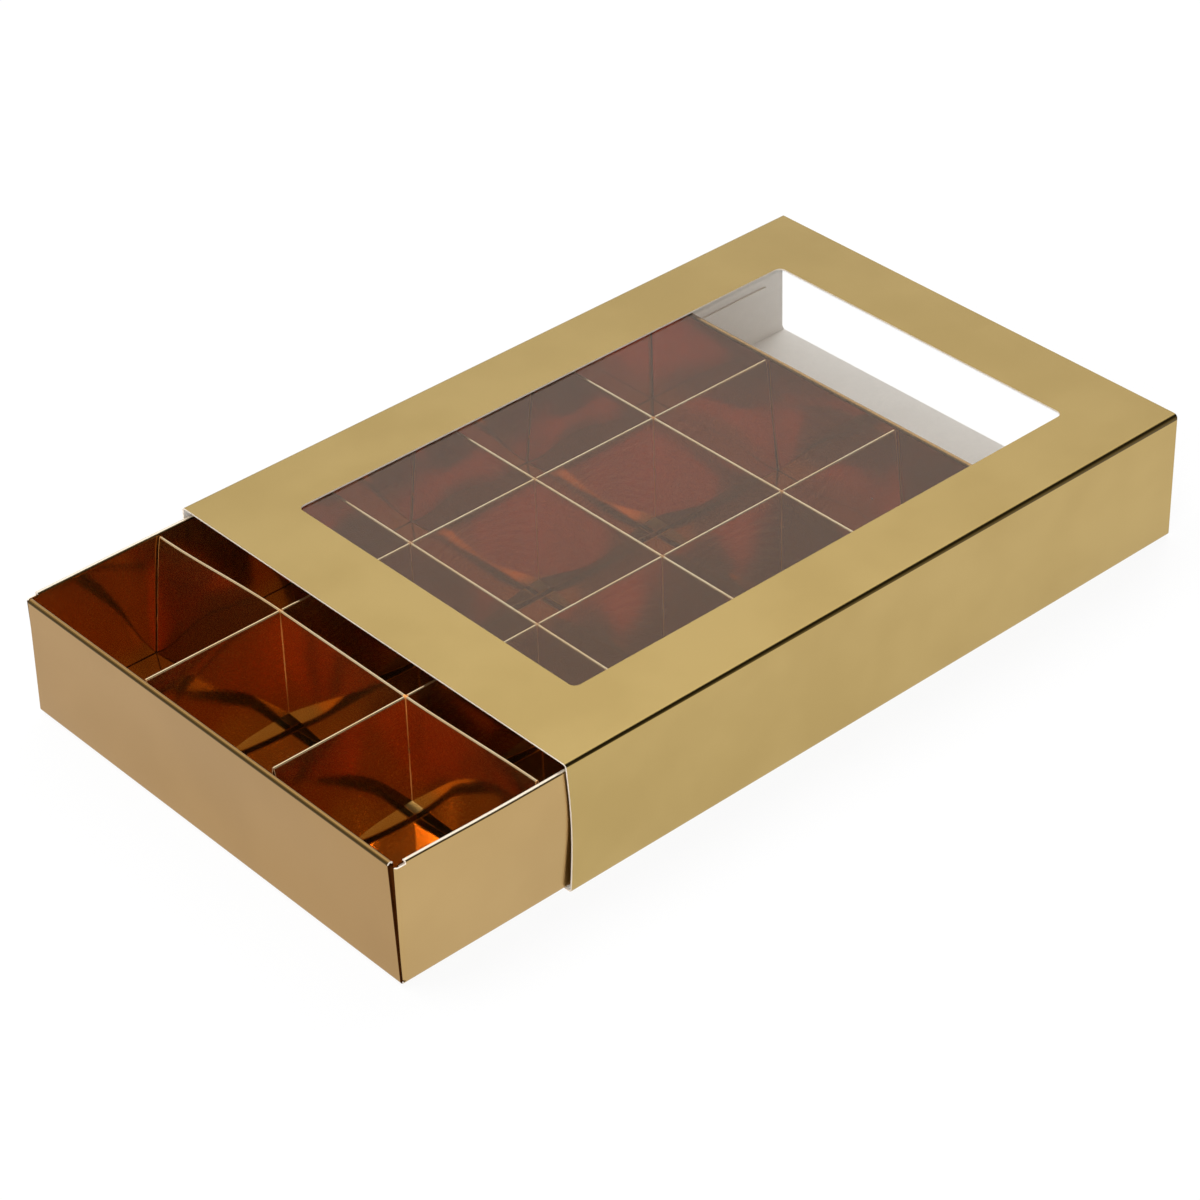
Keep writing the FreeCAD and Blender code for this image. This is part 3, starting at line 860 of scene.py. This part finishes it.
def makeDivider(name, kind, node, slots, foil):
    s = dividerSet
    low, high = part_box(node)
    axis = 0 if kind == "long" else 1
    start, end = low[axis] + s["setBack"].get(name, 0), high[axis] + s["reach"][kind]
    firstSway, lastSway = s["sway"].get(name, (0, 0))
    centre = (low[1 - axis] + high[1 - axis]) / 2
    halfSlot = s["slot"][kind]
    archMiddle = s["lowArch"].get(name, s["archMiddle"])
    columns = dividerColumns(start, end, slots, halfSlot)
    quarter = s["ridge"] * math.pi / 2
    leg = high.z - low.z - s["ridge"]
    half = (high.z - low.z) / 2
    slotDepth = half - s["ridge"]
    down = sorted(set(spread(0, leg, s["legRows"]) + [slotDepth, leg]))
    rows = spread(0, quarter, s["ridgeRows"]) + [quarter] + [quarter + d for d in down]
    rows = [-r for r in reversed(rows)] + [0] + rows
    clearSelection()
    bpy.ops.mesh.primitive_grid_add(x_subdivisions=len(columns) - 1, y_subdivisions=len(rows) - 1, size=2)
    piece = bpy.context.object
    piece.name = piece.data.name = name
    for v in piece.data.vertices:        # columns and rows go to the fold and the slots
        v.co.x = columns[round((v.co.x + 1) / 2 * (len(columns) - 1))]
        v.co.y = rows[round((v.co.y + 1) / 2 * (len(rows) - 1))]
    slotEdge = quarter + slotDepth
    inSlot = lambda p: any(abs(p.x - c) < halfSlot for c in slots)
    if kind == "long":       # slotted from above
        trim(piece, lambda p: inSlot(p) and abs(p.y) < slotEdge)
    else:
        trim(piece, lambda p: inSlot(p) and abs(p.y) > slotEdge)
    stops = [start] + list(slots) + [end]
    for v in piece.data.vertices:        # fold the strip over its ridge
        place, across = v.co.x, v.co.y
        side = 1 if across >= 0 else -1
        depth = abs(across) - quarter
        if depth <= 0:
            turn = abs(across) / s["ridge"]
            out, z = s["ridge"] * math.sin(turn), high.z - s["ridge"] * (1 - math.cos(turn))
        else:
            t = depth / leg
            apart = s["base"] - s["ridge"] + cellBelly(place, stops) * s["belly"]
            flare = s["flare"][kind] * smooth(1 - min(place - start, end - place) / s["flareReach"])
            early, late = s["flareCurve"]
            out = s["ridge"] + apart * t ** s["legCurve"] + flare * (early * math.sqrt(t) + late * t)
            z = high.z - s["ridge"] - depth * (1 - archLift(place, stops, archMiddle) / leg)
        for c in slots:      # a slot narrows upwards with the legs it takes
            if near(abs(place - c), halfSlot) and (depth <= slotDepth) == (kind == "long"):
                t = max(depth, 0) / leg
                width = s["ridge"] + (s["base"] - s["ridge"]) * t ** s["legCurve"] + s["slotRoom"]
                place = c + math.copysign(width, place - c)
        across = centre + side * out
        across += firstSway * smooth((slots[0] - place) / (slots[0] - start))
        across += lastSway * smooth((place - slots[-1]) / (end - slots[-1]))
        v.co = Vector((place, across, z)) if axis == 0 else Vector((across, place, z))
    faceOut(piece, lambda p: p.z > high.z - s["ridgeTop"], (0, 0, 1))
    thicken(piece, s["board"], (foil, foil, brightEdge))
    finishPiece(piece, "tray", "divider_foil_board", node)


def cellBelly(place, stops):     # 0 at the slots and the free ends, 1 midway between two slots
    for number, (a, b) in enumerate(zip(stops, stops[1:])):
        if a <= place <= b:
            if number in (0, len(stops) - 2):
                return 0
            return math.sin(math.pi * (place - a) / (b - a)) ** 2
    return 0


def archLift(place, stops, middle):      # the free ends stand on the floor
    s = dividerSet
    if place <= stops[1]:
        return s["arch"] * smooth((place - stops[0]) / (stops[1] - stops[0]))
    if place >= stops[-2]:
        return s["arch"] * smooth((stops[-1] - place) / (stops[-1] - stops[-2]))
    return s["arch"] + (middle - s["arch"]) * cellBelly(place, stops)


longNodes, longPlaces = strips("long")
crossNodes, crossPlaces = strips("cross")
longFoil = stripFoil("long", longNodes[0], crossPlaces)
crossFoil = stripFoil("cross", crossNodes[0], longPlaces)
for number, node in enumerate(longNodes, start=1):
    makeDivider(f"longDivider{number}", "long", node, crossPlaces, longFoil)
for number, node in enumerate(crossNodes, start=1):
    makeDivider(f"crossDivider{number}", "cross", node, longPlaces, crossFoil)

for node in ("seam_glue", "window_glue"):
    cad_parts[node].data.materials.clear()
    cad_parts[node].data.materials.append(glue)
print("pieces made")


# Studio

studioSet = {
    "bounces": 24,               # light goes round the mirror cells many times
    "glossyBounces": 16,
    "floorSize": 6.0,
    "floorDrop": 0.1 * mm,
    "floorColour": (0.90, 0.90, 0.90),
    "floorGlow": 0.9,            # share of plain white that the floor shows
    "floorSheen": 1.1,           # a little more of it in mirrored views
    "ceiling": 0.33,
    "horizon": (0.30, 0.46),     # the white sweep ends between these heights on the unit sphere
    # soft panels: direction, angles in degrees where they are full and where they end, strength
    "panels": [
        ((0.39, 0.42, 0.82), 8, 40, 1.39),
        ((0.50, 0.10, 0.86), 3, 11, 1.4),
        ((-0.36, 0.73, 0.60), 12, 32, 0.42),
    ],
    "shade": ((0.53, -0.60, 0.60), 18, 45, 0.35),    # a dark screen to the right
    "lamps": [
        # place, aim, size, watts, degrees it spreads, whether the foil mirrors it
        ((-0.5, 0.5, 1.3), (0, 0, 0), 0.9, 9, 180, False),
        ((0.9, 0.3, 1.0), (0, 0, 0), 0.7, 5, 180, False),
        ((-1.0, -0.7, 0.8), (0, 0, 0), 0.8, 11, 180, False),
        ((-0.578, -0.591, 0.702), (-0.113, -0.041, 0.012), 0.046, 8.5e-5, 4, True),    # a beam on one cell
    ],
}


def makeFloor():
    s = studioSet
    clearSelection()
    bpy.ops.mesh.primitive_plane_add(size=s["floorSize"], location=(0, 0, -s["floorDrop"]))
    floor = bpy.context.object
    floor.name = "studioFloor"
    finish = bpy.data.materials.new("paleFloor")
    finish.use_nodes = True
    nodes, links = finish.node_tree.nodes, finish.node_tree.links
    nodes.clear()
    paint = nodes.new("ShaderNodeBsdfDiffuse")
    paint.inputs["Color"].default_value = (*s["floorColour"], 1)
    glow = nodes.new("ShaderNodeEmission")
    ray = nodes.new("ShaderNodeLightPath")
    sheen = remap(nodes, links, ray.outputs["Is Glossy Ray"], 0, 1, 1, s["floorSheen"])
    links.new(sheen, glow.inputs["Strength"])
    seen = mathNode(nodes, links, "MAXIMUM", ray.outputs["Is Camera Ray"], ray.outputs["Is Glossy Ray"])
    seen = mathNode(nodes, links, "MAXIMUM", seen, ray.outputs["Is Transmission Ray"])
    share = mathNode(nodes, links, "MULTIPLY", seen, s["floorGlow"])
    mix = nodes.new("ShaderNodeMixShader")
    links.new(share, mix.inputs[0])
    links.new(paint.outputs[0], mix.inputs[1])
    links.new(glow.outputs[0], mix.inputs[2])
    links.new(mix.outputs[0], nodes.new("ShaderNodeOutputMaterial").inputs["Surface"])
    floor.data.materials.append(finish)


def makeWorld():         # white sweep round the horizon, dark above it, soft panels in the dark
    s = studioSet
    world = bpy.data.worlds.new("studio")
    bpy.context.scene.world = world
    world.use_nodes = True
    nodes, links = world.node_tree.nodes, world.node_tree.links
    nodes.clear()
    towards = nodes.new("ShaderNodeTexCoord").outputs["Generated"]
    height = nodes.new("ShaderNodeSeparateXYZ")
    links.new(towards, height.inputs[0])
    light = remap(nodes, links, height.outputs["Z"], *s["horizon"], 1.0, s["ceiling"])

    def disc(direction, full, end, outside, inside):     # a value round one direction that fades to another
        facing = addNode(nodes, "ShaderNodeVectorMath", operation="DOT_PRODUCT")
        links.new(towards, facing.inputs[0])
        facing.inputs[1].default_value = Vector(direction).normalized()
        return remap(nodes, links, facing.outputs["Value"], math.cos(math.radians(end)),
                     math.cos(math.radians(full)), outside, inside)

    for direction, full, end, strength in s["panels"]:
        light = mathNode(nodes, links, "MAXIMUM", light, disc(direction, full, end, 0, strength))
    direction, full, end, share = s["shade"]
    light = mathNode(nodes, links, "MULTIPLY", light, disc(direction, full, end, 1, share))
    glow = nodes.new("ShaderNodeBackground")
    glow.inputs["Color"].default_value = (1, 1, 1, 1)
    links.new(light, glow.inputs["Strength"])
    links.new(glow.outputs[0], nodes.new("ShaderNodeOutputWorld").inputs["Surface"])


def makeLamps():
    for number, (place, aim, size, watts, beam, mirrored) in enumerate(studioSet["lamps"], start=1):
        lamp = bpy.data.lights.new(f"softLamp{number}", "AREA")
        lamp.shape = "DISK"
        lamp.size = size
        lamp.energy = watts
        lamp.spread = math.radians(beam)
        holder = bpy.data.objects.new(f"softLamp{number}", lamp)
        bpy.context.scene.collection.objects.link(holder)
        holder.location = place
        holder.rotation_euler = (Vector(aim) - Vector(place)).to_track_quat("-Z", "Y").to_euler()
        holder.visible_camera = False
        holder.visible_glossy = mirrored
        holder.visible_transmission = False


cameraSet = {
    "place": (-448.9 * mm, -489.7 * mm, 471.1 * mm),
    "turn": 40.813,              # degrees from +Y towards +X
    "tilt": 35.600,              # degrees below level
    "roll": -1.942,
    "lens": 109.51,
    "sensor": 36.0,
    "clip": (0.02, 50),
}


def makeCamera():
    s = cameraSet
    view = bpy.data.cameras.new("photoCamera")
    view.lens = s["lens"]
    view.sensor_width = s["sensor"]
    view.clip_start, view.clip_end = s["clip"]
    camera = bpy.data.objects.new("photoCamera", view)
    bpy.context.scene.collection.objects.link(camera)
    stand = Euler((math.radians(90 - s["tilt"]), 0, math.radians(-s["turn"]))).to_matrix()
    camera.rotation_euler = (stand @ Euler((0, 0, math.radians(s["roll"]))).to_matrix()).to_euler()
    camera.location = s["place"]
    bpy.context.scene.camera = camera


makeFloor()
makeWorld()
makeLamps()
makeCamera()
bpy.context.scene.view_settings.view_transform = "Standard"
bpy.context.scene.cycles.max_bounces = studioSet["bounces"]
bpy.context.scene.cycles.glossy_bounces = studioSet["glossyBounces"]
clearSelection()
print("studio made")
